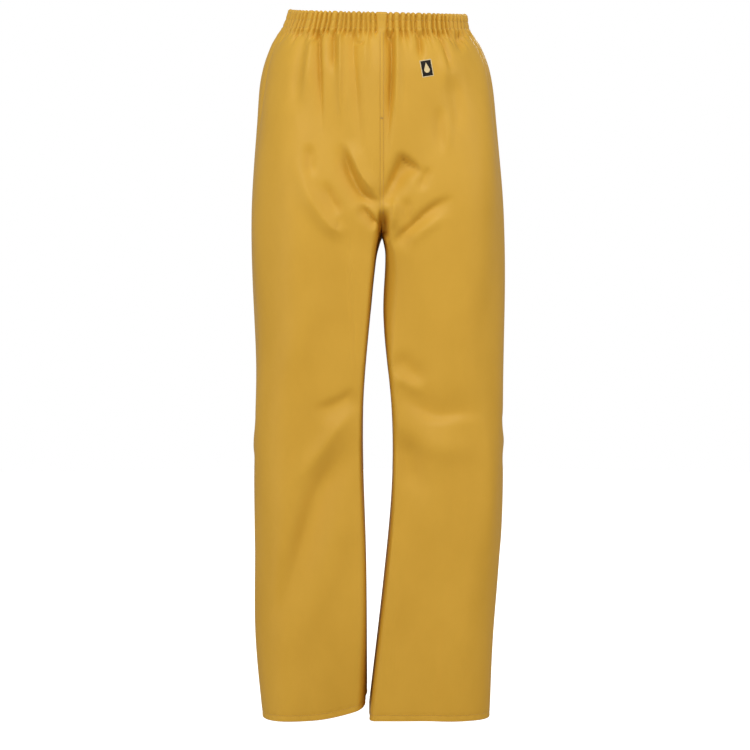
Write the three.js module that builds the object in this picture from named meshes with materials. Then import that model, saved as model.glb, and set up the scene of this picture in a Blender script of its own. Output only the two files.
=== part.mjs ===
// Waterproof over-trousers: two legs of coated cloth, joined by a centre seam and gathered by an elastic waist.
// Millimetres, +Z up, front towards -Y, the wearer's left towards +X.
// The origin is the centre of the waist opening, level with the top of the waistband at the wearer's sides.
// Each leg is one panel of cloth, from the waistband to the hem. It is modelled in stretches, because it bends
// at the crotch and at the knee: seat, hip, thigh, knee and shin. The hip and knee stretches are what creases.
import * as THREE from "three";
import { toCreasedNormals } from "three/addons/utils/BufferGeometryUtils.js";

// Cloth and clearances
const CLOTH = 1.2; // coated cloth with its knitted backing
const GAP = 0.4; // clearance between neighbouring pieces
const TAPE = 0.8; // thickness of the tapes that seal the seams
const COLUMNS = 28; // facets round each half of the seat and round each leg

// Levels, from the top down
const BAND_BOTTOM = -31;
const HIPS_START = -60; // from here down the seat's section turns into two legs side by side
const FORK_TOP = -262; // here the centre seam starts to turn under the body
const CROTCH = -337;
const HIP_END = -500;
const KNEE_TOP = -560;
const KNEE_END = -730;
const HEM = -1053;
const HEM_TURN_UP = 12;

// Round the seat, the waist slopes: its front sits lower than its sides, and its back sits higher.
const FRONT_DROP = 12;
const BACK_RISE = 8;
const SLOPE_FADES_BY = -200;

const CENTRE = 6; // the centre seam hangs this far towards the wearer's left
const SEAM_SHARE = 0.0008; // half of the slit at the centre seam, as a share of the way round
const SQUARENESS = 0.88; // under 1 fills out the corners of the oval sections
const FORK_ANGLE = THREE.MathUtils.degToRad(65); // how far the centre seam turns under, from upright

const evenly = (from, to, steps) => Array.from({ length: steps + 1 }, (_, i) => from + ((to - from) * i) / steps);

// A smooth curve through [level, value] pairs, listed from the top down.
function profile(pairs) {
  const last = pairs.length - 1;
  const slopes = pairs.map((_, i) => {
    const [levelAbove, valueAbove] = pairs[Math.max(i - 1, 0)];
    const [levelBelow, valueBelow] = pairs[Math.min(i + 1, last)];
    return (valueBelow - valueAbove) / (levelBelow - levelAbove);
  });
  return (level) => {
    const next = pairs.findIndex(([below]) => level > below);
    if (next === 0) return pairs[0][1];
    if (next === -1) return pairs[last][1];
    const [start, from] = pairs[next - 1];
    const [end, to] = pairs[next];
    const span = end - start;
    const t = (level - start) / span;
    const ease = t * t * (3 - 2 * t);
    const leaving = t * (1 - t) ** 2 * span * slopes[next - 1];
    const arriving = t * t * (t - 1) * span * slopes[next];
    return from + (to - from) * ease + leaving + arriving;
  };
}

// How far the cloth stands in front of the origin's plane and behind it.
const front = profile([
  [0, 98], [-31, 98], [-60, 106], [-100, 113], [-220, 118], [-337, 114], [-500, 103], [-730, 95], [-1053, 87],
]);
const back = profile([
  [0, 99], [-31, 101], [-60, 116], [-100, 136], [-170, 147], [-250, 143], [-337, 128], [-420, 114], [-600, 102],
  [-730, 101], [-1053, 87],
]);

// How far each leg's outside and inside stand from the plane x = 0, and how many degrees its oval turns outwards.
const LEFT = {
  side: 1,
  name: "left",
  outer: profile([
    [0, 134], [-31, 137], [-56, 152], [-92, 165], [-164, 176], [-308, 187], [-652, 188], [-787, 184],
    [-944, 173], [-1053, 167],
  ]),
  inner: profile([[-337, 6.5], [-365, 12], [-460, 9], [-607, 22], [-719, 22], [-854, 10], [-1053, -13]]),
  turn: profile([[-337, 0], [-500, 8], [-800, 10], [-1053, 12]]),
};
const RIGHT = {
  side: -1,
  name: "right",
  outer: profile([
    [0, 135], [-31, 145], [-56, 160], [-92, 171], [-164, 178], [-308, 189], [-517, 182], [-652, 185],
    [-899, 181], [-1053, 170],
  ]),
  inner: profile([[-337, -5.5], [-365, 1], [-427, 8], [-607, 22], [-854, 17], [-1053, 15.5]]),
  turn: profile([[-337, 0], [-500, 12], [-800, 20], [-1053, 25]]),
};
const LEGS = [LEFT, RIGHT];

const bulge = (value) => Math.sign(value) * Math.abs(value) ** SQUARENESS;

// The leg's whole section, from the inside (share 0) by the front and the outside round to the inside (share 1).
function legSection(leg, z, share) {
  const angle = 2 * Math.PI * share;
  const turned = angle - THREE.MathUtils.degToRad(leg.turn(z));
  const [inner, outer] = [leg.inner(z), leg.outer(z)];
  const halfDepth = (front(z) + back(z)) / 2;
  const across = (inner + outer) / 2 - ((outer - inner) / 2) * bulge(Math.cos(angle));
  return new THREE.Vector2(across, back(z) - halfDepth - halfDepth * bulge(Math.sin(turned)));
}

// The waist's half section, from the centre front (share 0) round the outside to the centre back (share 1).
function waistSection(leg, z, share) {
  const angle = Math.PI * share;
  const start = leg.side * CENTRE;
  const across = start + (leg.outer(z) - start) * bulge(Math.sin(angle));
  const facing = bulge(Math.cos(angle));
  return new THREE.Vector2(across, facing > 0 ? -front(z) * facing : -back(z) * facing);
}

// The half section above the fork: the outer half of the leg's, joined to the centre seam by straight runs.
function forkSection(leg, z, share) {
  const fromCentre = Math.min(share, 1 - share) / 0.25;
  const section = legSection(leg, z, share);
  if (fromCentre < 1) {
    const middle = (leg.inner(z) + leg.outer(z)) / 2;
    section.set(THREE.MathUtils.lerp(leg.side * CENTRE, middle, fromCentre), share < 0.5 ? -front(z) : back(z));
  }
  return section;
}

// At the fork the open section closes into the leg's: 0 is open, 1 is closed.
function forkShare(z) {
  const sunk = THREE.MathUtils.clamp((FORK_TOP - z) / (FORK_TOP - CROTCH), 0, 1);
  const angle = Math.asin(sunk * Math.sin(FORK_ANGLE));
  return (1 - Math.cos(angle)) / (1 - Math.cos(FORK_ANGLE));
}

function forkLevels(steps) {
  const depth = (FORK_TOP - CROTCH) / Math.sin(FORK_ANGLE);
  return evenly(0, FORK_ANGLE, steps).map((angle) => FORK_TOP - depth * Math.sin(angle));
}

// A point on the outer face of a leg's panel.
function surface(leg, z, share) {
  const open = waistSection(leg, z, share);
  open.lerp(forkSection(leg, z, share), 1 - THREE.MathUtils.smoothstep(z, FORK_TOP, HIPS_START));
  const { x: across, y } = open.lerp(legSection(leg, z, share), forkShare(z));
  const slope = y < 0 ? (FRONT_DROP * y) / front(z) : (BACK_RISE * y) / back(z);
  const rise = slope * THREE.MathUtils.smoothstep(z, SLOPE_FADES_BY, 0);
  return new THREE.Vector3(leg.side * across, y, z + rise);
}

// The same point, moved level into the garment by a depth.
function inside(leg, z, share, depth) {
  const step = 0.004;
  const along = surface(leg, z, Math.min(share + step, 1)).sub(surface(leg, z, Math.max(share - step, 0)));
  const outward = new THREE.Vector3(along.y, -along.x, 0).multiplyScalar(leg.side).normalize();
  return surface(leg, z, share).addScaledVector(outward, -depth);
}

// A closed solid through loops of points. Each loop runs along one face of the cloth and back along the other,
// so that a row of faces between the two closes each end.
function sweep(loops, joined = false) {
  const n = loops[0].length;
  const faces = [];
  const strips = joined ? loops.length : loops.length - 1;
  for (let i = 0; i < strips; i++) {
    const here = i * n;
    const there = ((i + 1) % loops.length) * n;
    for (let j = 0; j < n; j++) {
      const k = (j + 1) % n;
      faces.push(here + j, there + k, here + k);
      faces.push(here + j, there + j, there + k);
    }
  }
  if (!joined) {
    const end = (loops.length - 1) * n;
    for (let j = 0; j < n / 2 - 1; j++) {
      const [a, b, c, d] = [j, j + 1, n - 2 - j, n - 1 - j];
      faces.push(a, b, c, a, c, d);
      faces.push(end + a, end + c, end + b, end + a, end + d, end + c);
    }
  }
  const geometry = new THREE.BufferGeometry();
  const places = loops.flat().flatMap((point) => point.toArray());
  geometry.setAttribute("position", new THREE.Float32BufferAttribute(places, 3));
  geometry.setIndex(faces);
  turnOutwards(geometry);
  return geometry;
}

// Reverses the faces if together they enclose a negative volume.
function turnOutwards(geometry) {
  const position = geometry.getAttribute("position");
  const index = geometry.getIndex();
  const corner = (i) => new THREE.Vector3().fromBufferAttribute(position, index.getX(i));
  let volume = 0;
  for (let i = 0; i < index.count; i += 3) {
    volume += corner(i).dot(corner(i + 1).cross(corner(i + 2)));
  }
  if (volume < 0) index.array.reverse();
}

// Cloth that follows the panels: places are [leg, share] pairs and the outline is made of [depth, level] pairs.
// A place can have a third number, the lift, which brings its outline that far outwards.
function clothSolid(places, outline, joined = false) {
  const loops = places.map(([leg, share, lift = 0]) =>
    outline.map(([depth, z]) => inside(leg, z, share, depth - lift)),
  );
  return sweep(loops, joined);
}

const placesRound = (leg, from, to, columns) => evenly(from, to, columns).map((share) => [leg, share]);
const wholeLeg = (leg) => placesRound(leg, 0, 1, COLUMNS).slice(0, -1);
const halfSeat = (leg) => placesRound(leg, SEAM_SHARE, 1 - SEAM_SHARE, COLUMNS);

// The outline of a layer between two depths, through a list of levels.
function layer(levels, near, far) {
  const outer = levels.map((z) => [near, z]);
  const inner = levels.map((z) => [far, z]);
  return [...outer, ...inner.reverse()];
}

// A strip centred on the centre seam, front (share 0) or back (share 1), between two depths.
function seamStrip(share, levels, width, near, far) {
  const seam = (z) => surface(LEFT, z, share).setX(CENTRE);
  const outline = [[-width / 2, near], [width / 2, near], [width / 2, far], [-width / 2, far]];
  const loops = levels.map((z, i) => {
    const before = seam(levels[Math.max(i - 1, 0)]);
    const after = seam(levels[Math.min(i + 1, levels.length - 1)]);
    const down = after.sub(before).normalize();
    const inward = new THREE.Vector3(0, -down.z, down.y).multiplyScalar(share === 0 ? 1 : -1);
    return outline.map(([aside, depth]) => seam(z).addScaledVector(inward, depth).setX(CENTRE + aside));
  });
  return sweep(loops);
}

// A flat patch bent once over the fork: its outline runs from the front, over the crotch, to the back.
function patchGeometry(line) {
  const raise = (lift) => line.map(([y, z]) => new THREE.Vector2(y, z + lift));
  const shape = new THREE.Shape([...raise(0), ...raise(TAPE).reverse()]);
  const patch = new THREE.ExtrudeGeometry(shape, { depth: TAPE_WIDTH, bevelEnabled: false });
  patch.deleteAttribute("uv");
  const lengthwise = new THREE.Matrix4().makeBasis(
    new THREE.Vector3(0, 1, 0),
    new THREE.Vector3(0, 0, 1),
    new THREE.Vector3(1, 0, 0),
  );
  return patch.applyMatrix4(lengthwise).translate(CENTRE - TAPE_WIDTH / 2, 0, 0);
}

// Materials, one for each mesh
const finish = (color, roughness) => new THREE.MeshStandardMaterial({ color, roughness, metalness: 0 });
const coating = () => finish(0xd8ac48, 0.45);
const sealing = () => finish(0xe3c87c, 0.6);
const rubber = () => finish(0xe9e6dc, 0.9);
const darkPlastic = () => finish(0x2b2117, 0.4);
const palePlastic = () => finish(0xe6d7a8, 0.4);
const satinLabel = () => finish(0xf2f0ea, 0.7);
const polyester = () => finish(0xe0b850, 0.6);

const CREASE = THREE.MathUtils.degToRad(40);
const trousers = new THREE.Group();
trousers.name = "waterproof_over_trousers";

function add(name, geometry, material) {
  const mesh = new THREE.Mesh(toCreasedNormals(geometry, CREASE), material);
  mesh.name = name;
  trousers.add(mesh);
}

// Waistband: each panel's top is folded inwards over the elastic, which makes a channel that is open below.
const CHANNEL = 3.4; // clear depth between the folded cloth's two walls
const CASING = 2 * CLOTH + CHANNEL;
const WAIST_ROWS = { upper: -5.5, middle: -16.5, lower: -28 }; // levels of the rows of stitching
const rowLevels = [BAND_BOTTOM, ...Object.values(WAIST_ROWS).reverse()];
const casingOutline = [
  ...rowLevels.map((z) => [0, z]),
  [0, 0],
  [CASING, 0],
  [CASING, BAND_BOTTOM],
  [CASING - CLOTH, BAND_BOTTOM],
  [CASING - CLOTH, -CLOTH],
  [CLOTH, -CLOTH],
  ...rowLevels.reverse().map((z) => [CLOTH, z]),
];
for (const leg of LEGS) {
  add(`waist_casing_${leg.name}`, clothSolid(halfSeat(leg), casingOutline), coating());
}

// Elastic: one band in both channels
const ELASTIC_THICKNESS = 1.6;
const ELASTIC_WIDTH = 26;
const elasticDepth = CLOTH + (CHANNEL - ELASTIC_THICKNESS) / 2;
const elasticTop = -(CLOTH - BAND_BOTTOM - ELASTIC_WIDTH) / 2;
const elasticOutline = layer(
  [elasticTop, elasticTop - ELASTIC_WIDTH],
  elasticDepth,
  elasticDepth + ELASTIC_THICKNESS,
);
const roundTheWaist = [
  ...placesRound(LEFT, 0, 1, COLUMNS),
  ...placesRound(RIGHT, 1, 0, COLUMNS).slice(1, -1),
];
add("waist_elastic", clothSolid(roundTheWaist, elasticOutline, true), rubber());

// Leg panels
const BADGE_TOP = -75;
const BADGE_BOTTOM = -103;
const seatLevels = [BAND_BOTTOM - GAP, -45, -60, BADGE_TOP, BADGE_BOTTOM, -140, -200, ...forkLevels(6)];
const hipLevels = evenly(CROTCH - GAP, HIP_END, 5);
const thighLevels = [HIP_END - GAP, KNEE_TOP];
const kneeLevels = evenly(KNEE_TOP - GAP, KNEE_END, 4);
const shinLevels = evenly(KNEE_END - GAP, HEM, 4);
for (const leg of LEGS) {
  add(`seat_panel_${leg.name}`, clothSolid(halfSeat(leg), layer(seatLevels, 0, CLOTH)), coating());
  const stretches = {
    hip_cloth: hipLevels,
    thigh_panel: thighLevels,
    knee_cloth: kneeLevels,
    shin_panel: shinLevels,
  };
  for (const [name, levels] of Object.entries(stretches)) {
    add(`${name}_${leg.name}`, clothSolid(wholeLeg(leg), layer(levels, 0, CLOTH), true), coating());
  }
}

// Hems: the cloth's end, turned up inside
for (const leg of LEGS) {
  const outline = layer([HEM + HEM_TURN_UP, HEM], CLOTH + GAP, 2 * CLOTH + GAP);
  add(`hem_turn_up_${leg.name}`, clothSolid(wholeLeg(leg), outline, true), coating());
}

// Centre seam: a lap on the outside and sealing tape on the inside
const LAP_WIDTH = 6;
const TAPE_WIDTH = 18;
const tapeDepth = CLOTH + 2 * GAP;
const forkTape = forkLevels(6).slice(0, 5);
const aboveFork = seatLevels.slice(1, 7);
const lapLevels = [0, BAND_BOTTOM, ...aboveFork, FORK_TOP];
const tapeLevels = [BAND_BOTTOM - 2 * GAP, ...aboveFork, ...forkTape];
for (const [name, share] of [["front", 0], ["back", 1]]) {
  const lap = seamStrip(share, lapLevels, LAP_WIDTH, -GAP - CLOTH, -GAP);
  const tape = seamStrip(share, tapeLevels, TAPE_WIDTH, tapeDepth, tapeDepth + TAPE);
  add(`${name}_seam_lap`, lap, coating());
  add(`${name}_seam_tape`, tape, sealing());
}

// Stitching: one thread for each row. The rows round the waist pass over the two laps.
const THREAD = 0.5;
const HEM_ROW = 8; // height above the hem's edge
const overLap = GAP + CLOTH + 2 * THREAD;
const waistPlaces = roundTheWaist.map(([leg, share]) => [leg, share, share % 1 === 0 ? overLap : 0]);
const threadOutline = (z) => layer([z + THREAD / 2, z - THREAD / 2], -GAP - THREAD, -GAP);
for (const [name, z] of Object.entries(WAIST_ROWS)) {
  add(`waist_stitching_${name}`, clothSolid(waistPlaces, threadOutline(z), true), polyester());
}
for (const leg of LEGS) {
  const thread = clothSolid(wholeLeg(leg), threadOutline(HEM + HEM_ROW), true);
  add(`hem_stitching_${leg.name}`, thread, polyester());
}
const onTheLap = 2 * GAP + CLOTH;
for (const [name, share] of [["front", 0], ["back", 1]]) {
  const thread = seamStrip(share, [...aboveFork, FORK_TOP], THREAD, -onTheLap - THREAD, -onTheLap);
  add(`${name}_seam_stitching`, thread, polyester());
}

// Crotch patch: seals the place where the seams cross, between the ends of the two centre tapes
const PATCH_CLEARANCE = 3;
const tapeEnd = forkTape[forkTape.length - 1];
const patchLine = [
  [surface(LEFT, tapeEnd, 0).y + PATCH_CLEARANCE, tapeEnd + PATCH_CLEARANCE],
  [surface(LEFT, CROTCH, 0).y, CROTCH + PATCH_CLEARANCE],
  [surface(LEFT, tapeEnd, 1).y - PATCH_CLEARANCE, tapeEnd + PATCH_CLEARANCE],
];
add("crotch_patch", patchGeometry(patchLine), sealing());

// Inseam tapes: inside the front of each leg, one facet wide, from the crotch to the hem's turn-up
const SEAM_COLUMN = 3;
for (const leg of LEGS) {
  const places = placesRound(leg, SEAM_COLUMN / COLUMNS, (SEAM_COLUMN + 1) / COLUMNS, 1);
  const stretches = {
    hip: hipLevels,
    thigh: thighLevels,
    knee: kneeLevels,
    shin: [...shinLevels.slice(0, -1), HEM + HEM_TURN_UP + GAP],
  };
  for (const [name, levels] of Object.entries(stretches)) {
    const outline = layer(levels, tapeDepth, tapeDepth + TAPE);
    add(`${name}_seam_tape_${leg.name}`, clothSolid(places, outline), sealing());
  }
}

// Badge: a dark welded patch with a pale border and a raised drop, on the wearer's left
const BADGE_WIDTH = 16;
const BADGE_HEIGHT = 21;
const BADGE_BORDER = 2;
const BADGE_TILT = THREE.MathUtils.degToRad(8);
const BADGE_THICKNESS = 0.8;
const DROP_RADIUS = 3.4;
const DROP_POINT = 9; // from the drop's round centre up to its point

const rectangle = (width, height) =>
  new THREE.Shape([
    new THREE.Vector2(-width / 2, -height / 2),
    new THREE.Vector2(width / 2, -height / 2),
    new THREE.Vector2(width / 2, height / 2),
    new THREE.Vector2(-width / 2, height / 2),
  ]);

// The frame of one facet of the left panel: x to the wearer's left, y up the cloth, z out of it.
function badgeFrame() {
  const column = 3;
  const corner = (z, step) => surface(LEFT, z, (column + step) / COLUMNS);
  const middle = corner(BADGE_TOP, 0).add(corner(BADGE_BOTTOM, 1)).multiplyScalar(0.5);
  const aside = corner(BADGE_TOP, 1).sub(corner(BADGE_TOP, 0)).normalize();
  const up = corner(BADGE_TOP, 0).sub(corner(BADGE_BOTTOM, 0)).normalize();
  const outward = new THREE.Vector3().crossVectors(aside, up).normalize();
  up.crossVectors(outward, aside);
  const frame = new THREE.Matrix4().makeBasis(aside, up, outward);
  return frame.setPosition(middle).multiply(new THREE.Matrix4().makeRotationZ(BADGE_TILT));
}

function badgePlate(shape, standoff) {
  const plate = new THREE.ExtrudeGeometry(shape, { depth: BADGE_THICKNESS, bevelEnabled: false });
  plate.deleteAttribute("uv");
  return plate.translate(0, 0, standoff).applyMatrix4(badgeFrame());
}

const field = rectangle(BADGE_WIDTH, BADGE_HEIGHT);
const border = rectangle(BADGE_WIDTH + 2 * BADGE_BORDER, BADGE_HEIGHT + 2 * BADGE_BORDER);
border.holes.push(rectangle(BADGE_WIDTH + GAP, BADGE_HEIGHT + GAP));
const drop = new THREE.Shape();
const shoulder = Math.acos(DROP_RADIUS / DROP_POINT);
drop.absarc(0, 0, DROP_RADIUS, Math.PI / 2 - shoulder, Math.PI / 2 + shoulder, true);
drop.lineTo(0, DROP_POINT);
add("badge_field", badgePlate(field, GAP), darkPlastic());
add("badge_border", badgePlate(border, GAP), palePlastic());
add("badge_drop", badgePlate(drop, 2 * GAP + BADGE_THICKNESS), palePlastic());

// Care label: hangs inside the back of the waistband
const LABEL = { width: 30, length: 48, thickness: 0.6, overlap: 10 };
const labelBack = back(0) - CASING - 2 * GAP;
const label = new THREE.BoxGeometry(LABEL.width, LABEL.thickness, LABEL.length);
const labelTop = BAND_BOTTOM + BACK_RISE + LABEL.overlap;
label.translate(CENTRE, labelBack - LABEL.thickness / 2, labelTop - LABEL.length / 2);
add("care_label", label, satinLabel());

export default trousers;
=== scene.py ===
"""Yellow waterproof over-trousers, gathered by an elastic waist, as if worn by an invisible body.

Shapes are worked out in millimetres, in the frame's axes: +Z up, the front towards -Y, the wearer's
left towards +X. Each leg is one panel of coated cloth. Its skin is a grid of rows down the cloth and
columns round it, from the centre front seam by the outside to the centre back seam.
"""

import math

import bpy
import numpy as np
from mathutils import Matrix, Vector


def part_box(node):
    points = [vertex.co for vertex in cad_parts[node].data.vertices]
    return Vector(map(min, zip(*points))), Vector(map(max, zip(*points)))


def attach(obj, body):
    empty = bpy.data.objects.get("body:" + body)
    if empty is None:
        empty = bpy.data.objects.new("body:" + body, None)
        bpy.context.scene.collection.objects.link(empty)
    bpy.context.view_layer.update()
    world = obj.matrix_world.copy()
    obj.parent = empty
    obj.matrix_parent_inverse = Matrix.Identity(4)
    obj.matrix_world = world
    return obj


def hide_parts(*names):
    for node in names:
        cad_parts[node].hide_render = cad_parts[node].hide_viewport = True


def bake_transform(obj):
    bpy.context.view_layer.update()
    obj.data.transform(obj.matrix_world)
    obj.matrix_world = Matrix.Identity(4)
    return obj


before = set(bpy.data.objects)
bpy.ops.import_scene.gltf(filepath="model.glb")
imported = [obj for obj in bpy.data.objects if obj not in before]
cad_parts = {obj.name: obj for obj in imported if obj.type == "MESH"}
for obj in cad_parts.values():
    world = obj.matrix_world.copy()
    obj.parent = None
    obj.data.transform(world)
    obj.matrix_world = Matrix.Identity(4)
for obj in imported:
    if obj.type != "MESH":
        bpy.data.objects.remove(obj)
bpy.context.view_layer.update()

MM = 0.001
SIDES = {"left": 1, "right": -1}

# ------------ levels and sizes, from the frame


def top_of(node):
    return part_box(node)[1].z / MM


def bottom_of(node):
    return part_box(node)[0].z / MM


CROTCH = bottom_of("seat_panel_left")
HIP_END = bottom_of("hip_cloth_left")
KNEE_TOP = bottom_of("thigh_panel_left")
HEM = bottom_of("shin_panel_left")
MID_THIGH = (HIP_END + KNEE_TOP) / 2
HEM_TURN_UP = top_of("hem_turn_up_left") - HEM
BAND = 31  # height of the waistband
HIPS_START = -60  # below it the round waist takes the legs' shape
FORK_TOP = CROTCH + 20  # below it the legs close
CENTRE = (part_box("front_seam_lap")[0].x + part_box("front_seam_lap")[1].x) / 2 / MM
FRONT_DROP = 12  # how much lower the waist is at the front
BACK_RISE = 8  # how much higher it is at the back
SLOPE_FADES_BY = -200
SQUARENESS = 0.78  # of the sections' corners: 1 for an ellipse, 0 for a square
FORK_ANGLE = math.radians(80)  # how far round an arc the fork closes
SMOOTHING = 15  # how far up and down the body's change of shape at the crotch is eased
CLOTH = 0.8  # how thick the cloth is drawn
STITCH_ROWS = (-5.5, -16.5, -28.0)  # rows of stitching through the waistband and its elastic
HEM_STITCH = 8  # height of the hem's stitching above its edge

# ------------ the garment without its folds


def smoothstep(value, start, end):
    t = np.clip((value - start) / (end - start), 0, 1)
    return t * t * (3 - 2 * t)


def profile(*pairs):
    """A smooth curve through (level, value) pairs from the top down, level where it starts."""
    levels, values = np.array(pairs, float).T
    wide = np.concatenate([levels[:1], levels, levels[-1:]])
    tall = np.concatenate([values[:1], values, values[-1:]])
    slopes = (tall[2:] - tall[:-2]) / (wide[2:] - wide[:-2])
    slopes[0] = 0

    def at(z):
        z = np.clip(z, levels[-1], levels[0])
        i = np.clip(np.searchsorted(-levels, -z, side="right") - 1, 0, len(levels) - 2)
        span = levels[i + 1] - levels[i]
        t = (z - levels[i]) / span
        ease = t * t * (3 - 2 * t)
        leaving = t * (1 - t) ** 2 * span * slopes[i]
        arriving = t * t * (t - 1) * span * slopes[i + 1]
        return values[i] + (values[i + 1] - values[i]) * ease + leaving + arriving

    return at


FRONT = profile(
    (0, 98), (-31, 98), (-60, 106), (-100, 113), (-220, 118), (-337, 114), (-500, 103), (-730, 95),
    (-1053, 87),
)
BACK = profile(
    (0, 99), (-31, 101), (-60, 116), (-100, 136), (-170, 147), (-250, 143), (-337, 128), (-420, 114),
    (-600, 102), (-730, 101), (-1053, 87),
)
OUTER = {
    "left": profile(
        (0, 134), (-31, 137), (-56, 152), (-92, 165), (-164, 176), (-308, 187), (-652, 188),
        (-787, 184), (-944, 173), (-1053, 167),
    ),
    "right": profile(
        (0, 133), (-31, 142), (-56, 157), (-92, 168), (-164, 178), (-308, 189), (-517, 182),
        (-652, 185), (-899, 181), (-1053, 170),
    ),
}
INNER = {
    "left": profile(
        (-337, 6.5), (-345, 9), (-365, 12), (-460, 9), (-607, 22), (-719, 22), (-854, 10), (-1053, -13)
    ),
    "right": profile(
        (-337, -5.5), (-345, -3), (-365, 1), (-427, 8), (-607, 22), (-854, 17), (-1053, 15.5)
    ),
}
TURN = {  # degrees that each leg's oval turns outwards
    "left": profile((-337, 0), (-500, 2), (-800, 5), (-1053, 12)),
    "right": profile((-337, 0), (-500, 2), (-800, 8), (-1053, 25)),
}
INNER_SQUARENESS = {
    "left": profile((-337, 0.2), (-400, 0.34), (-450, 0.34), (-560, 0.13), (-1053, 0.13)),
    "right": profile((-337, 0.2), (-400, 0.13), (-900, 0.13), (-1053, 0.3)),
}


def bulge(value, squareness=SQUARENESS):
    return np.sign(value) * np.abs(value) ** squareness


def leg_section(side, z, share):
    """Across and depth at shares of the way round, from the inside by the front and the outside."""
    angle = 2 * math.pi * share
    turned = angle - np.radians(TURN[side](z))
    inner, outer = INNER[side](z), OUTER[side](z)
    half_depth = (FRONT(z) + BACK(z)) / 2
    inside = smoothstep(np.cos(angle), 0, 0.6)
    squareness = SQUARENESS + (INNER_SQUARENESS[side](z) - SQUARENESS) * inside
    across = (inner + outer) / 2 - (outer - inner) / 2 * bulge(np.cos(angle), squareness)
    return across, BACK(z) - half_depth - half_depth * bulge(np.sin(turned), squareness)


def waist_section(side, z, share):
    angle = math.pi * share
    start = SIDES[side] * CENTRE
    across = start + (OUTER[side](z) - start) * bulge(np.sin(angle))
    facing = bulge(np.cos(angle))
    return across, np.where(facing > 0, -FRONT(z) * facing, -BACK(z) * facing)


def fork_section(side, z, share):
    """The outer half of the leg's section, joined to the centre seam by straight runs."""
    from_centre = np.minimum(share, 1 - share) / 0.25
    across, depth = leg_section(side, z, share)
    middle = (INNER[side](z) + OUTER[side](z)) / 2
    start = SIDES[side] * CENTRE
    straight = start + (middle - start) * from_centre ** 4
    across = np.where(from_centre < 1, straight, across)
    depth = np.where(from_centre < 1, np.where(share < 0.5, -FRONT(z), BACK(z)), depth)
    return across, depth


def fork_share(z):
    sunk = np.clip((FORK_TOP - z) / (FORK_TOP - CROTCH), 0, 1)
    angle = np.arcsin(sunk * math.sin(FORK_ANGLE))
    return (1 - np.cos(angle)) / (1 - math.cos(FORK_ANGLE))


def body_surface(side, z, share):
    """Points of one half of the garment without its folds, for levels and shares of the way round."""
    z, share = np.broadcast_arrays(z, share)
    hips = 1 - smoothstep(z, FORK_TOP, HIPS_START)
    closed = fork_share(z)
    waist, fork, leg = (f(side, z, share) for f in (waist_section, fork_section, leg_section))
    across = waist[0] + (fork[0] - waist[0]) * hips
    y = waist[1] + (fork[1] - waist[1]) * hips
    across = across + (leg[0] - across) * closed
    y = y + (leg[1] - y) * closed
    slope = np.where(y < 0, FRONT_DROP * y / FRONT(z), BACK_RISE * y / BACK(z))
    rise = slope * smoothstep(z, SLOPE_FADES_BY, 0)
    return np.stack([SIDES[side] * across, y, z + rise], axis=-1)


# Columns round the front beside the seam, the rest of the front, the outer half and the same two at the
# back, and the shares of the way round at which these parts end.
COLUMN_PARTS = (60, 32, 136, 32, 60)
PART_ENDS = (0, 0.16, 0.25, 0.75, 0.84, 1)
COLUMNS = sum(COLUMN_PARTS)


def ease_about_crotch(points, levels, share):
    """Smooths the body down its rows where the front turns into the legs, away from the centre seam."""
    spacing = -np.diff(levels, append=levels[-1] - 1)
    weights = np.exp(-((levels[:, None] - levels[None, :]) / SMOOTHING) ** 2) * spacing
    weights /= weights.sum(axis=1, keepdims=True)
    eased = (weights @ points.reshape(len(levels), -1)).reshape(points.shape)
    from_seam = smoothstep(np.minimum(share, 1 - share), 0.05, 0.17)
    near = np.exp(-((levels - CROTCH) / (3 * SMOOTHING)) ** 4)
    return points + (eased - points) * (near[:, None] * from_seam)[..., None]


def even_columns(side, levels):
    """The grid of one half, its columns even within each part, and how far round the rows they are."""
    steps = 8 * COLUMNS
    share = np.linspace(0, 1, steps + 1)
    dense = ease_about_crotch(body_surface(side, levels[:, None], share[None, :]), levels, share)
    stride = np.linalg.norm(np.diff(dense[..., :2], axis=1), axis=2)
    length = np.concatenate([np.zeros((len(levels), 1)), np.cumsum(stride, axis=1)], axis=1)
    points, along = [], []
    for row, reached in zip(dense, length):
        cuts = reached[[round(end * steps) for end in PART_ENDS]]
        stretches = zip(cuts, cuts[1:], COLUMN_PARTS)
        parts = [np.linspace(start, end, count, endpoint=False) for start, end, count in stretches]
        even = np.concatenate([*parts, cuts[-1:]])
        points.append(np.stack([np.interp(even, reached, row[:, axis]) for axis in range(3)], axis=-1))
        along.append(even)
    return np.array(points), np.array(along)


# ------------ the grid of each half, with its folds

FLAT_PATCH = 9  # half the width of the band's smooth patch at each end of the centre seam
GATHER_DEPTH = 5.6
GATHER_SWELL = 1.1  # how far the cloth swells out between two gathers
GATHER_WIDTH = 1.35  # half the width of a gather's valley in the waistband
BAND_THICKNESS = 9.6  # from the outside of the waistband to its inside, over the elastic
INNER_GATHER_DEPTH = 1.6
TOP_RADIUS = BAND_THICKNESS / 2
GATHER_PITCH = 6.6
GATHER_PITCH_AT_SIDE = 2.8  # more between the gathers there
LEG_GATHER_DEPTH = GATHER_DEPTH * 1.3  # just below the waistband
STITCHES_SINK = 0.2  # how far stitching presses the waistband in
STITCHES_SINK_INSIDE = 0.35
HOLLOW_DEPTH = 26  # the hollow at the foot of the front seam
HOLLOW_TOP = -302
HOLLOW_PLACE = 8
HOLLOW_WIDTH = 6.5
FADE_UNDER_BAND = 11  # the length over which the long folds begin below the waistband
THIGH_RADIUS = 95
WAVE_HEIGHT = 0.75  # of each of the soft waves down the cloth
PUCKER = 0.35  # the ripple along the hem's stitching
PUCKER_PITCH = 15
PUCKER_SINK = 0.4
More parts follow.
